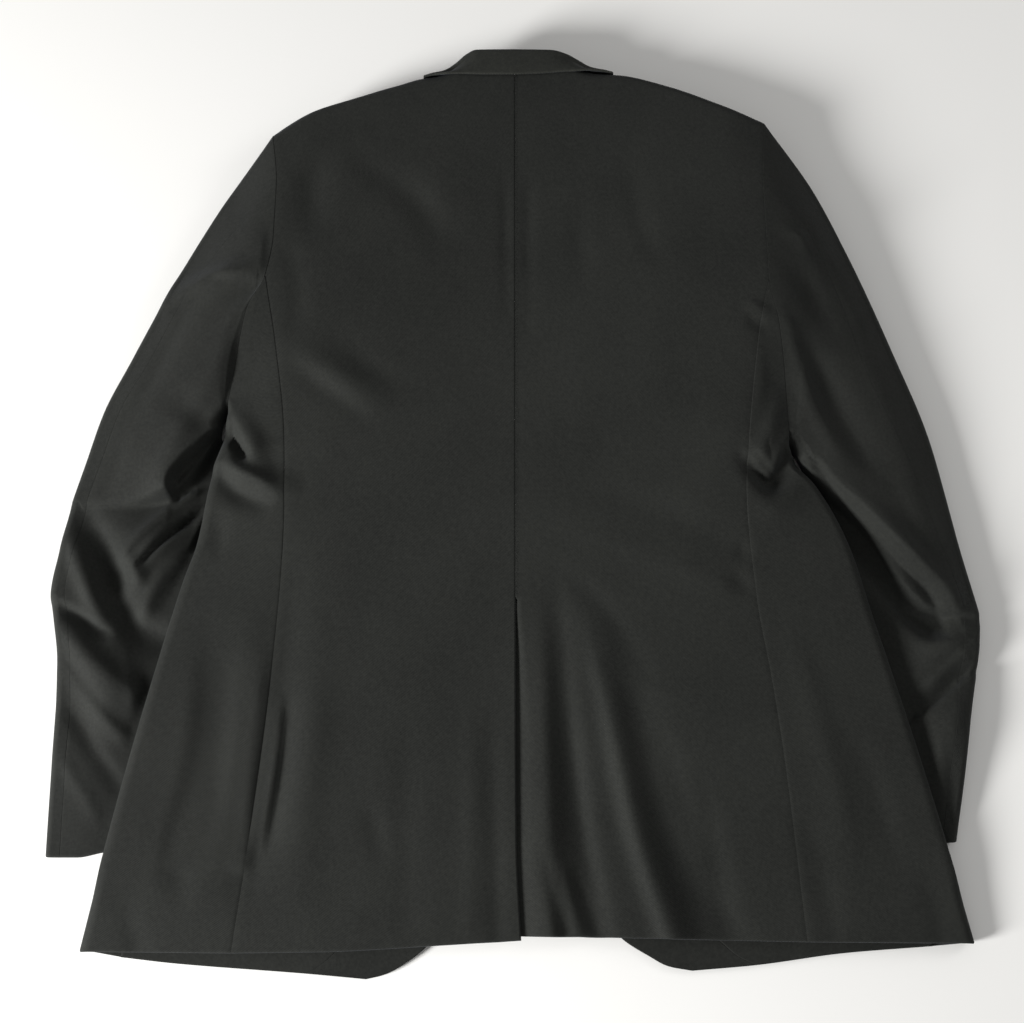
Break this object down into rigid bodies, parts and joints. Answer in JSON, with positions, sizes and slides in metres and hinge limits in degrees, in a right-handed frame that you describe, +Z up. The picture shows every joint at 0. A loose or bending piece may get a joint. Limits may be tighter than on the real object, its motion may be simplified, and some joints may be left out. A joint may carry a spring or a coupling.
{
  "type": "suit jacket",
  "caption": "Dark wool suit jacket with a centre back vent, laid flat on its front with its back up, sleeves at its sides.",
  "frame": {"origin": "on the floor, under the middle of the laid jacket's bounding box", "axes": "+X to the right as the back is looked at (the wearer's right), +Y from the hem to the collar, +Z up from the floor"},
  "size_m": [0.746, 0.7839, 0.0424],
  "materials": {
    "back_left": "fine worsted wool, matt",
    "back_right": "fine worsted wool, matt",
    "side_left": "fine worsted wool, matt",
    "side_right": "fine worsted wool, matt",
    "front_left": "fine worsted wool, matt",
    "front_right": "fine worsted wool, matt",
    "facing_left": "fine worsted wool, matt",
    "facing_right": "fine worsted wool, matt",
    "hem_left": "fine worsted wool, matt",
    "hem_right": "fine worsted wool, matt",
    "lapel_left": "fine worsted wool, matt",
    "lapel_right": "fine worsted wool, matt",
    "collar_leaf": "fine worsted wool, matt",
    "collar_stand": "fine worsted wool, matt",
    "collar_front_left": "fine worsted wool, matt",
    "collar_front_right": "fine worsted wool, matt",
    "sleeve_under_left": "fine worsted wool, matt",
    "sleeve_under_right": "fine worsted wool, matt",
    "sleeve_top_left": "fine worsted wool, matt",
    "sleeve_top_right": "fine worsted wool, matt",
    "button_upper": "dark horn-like button, low sheen",
    "button_lower": "dark horn-like button, low sheen"
  },
  "bodies": {
    "root": {"back_left": "back_left", "back_right": "back_right", "side_left": "side_left", "side_right": "side_right", "front_left": "front_left", "front_right": "front_right", "facing_left": "facing_left", "facing_right": "facing_right", "hem_left": "hem_left", "hem_right": "hem_right", "lapel_left": "lapel_left", "lapel_right": "lapel_right", "collar_leaf": "collar_leaf", "collar_stand": "collar_stand", "collar_front_left": "collar_front_left", "collar_front_right": "collar_front_right", "sleeve_under_left": "sleeve_under_left", "sleeve_under_right": "sleeve_under_right", "sleeve_top_left": "sleeve_top_left", "sleeve_top_right": "sleeve_top_right", "button_upper": "button_upper", "button_lower": "button_lower"}
  },
  "joints": []
}
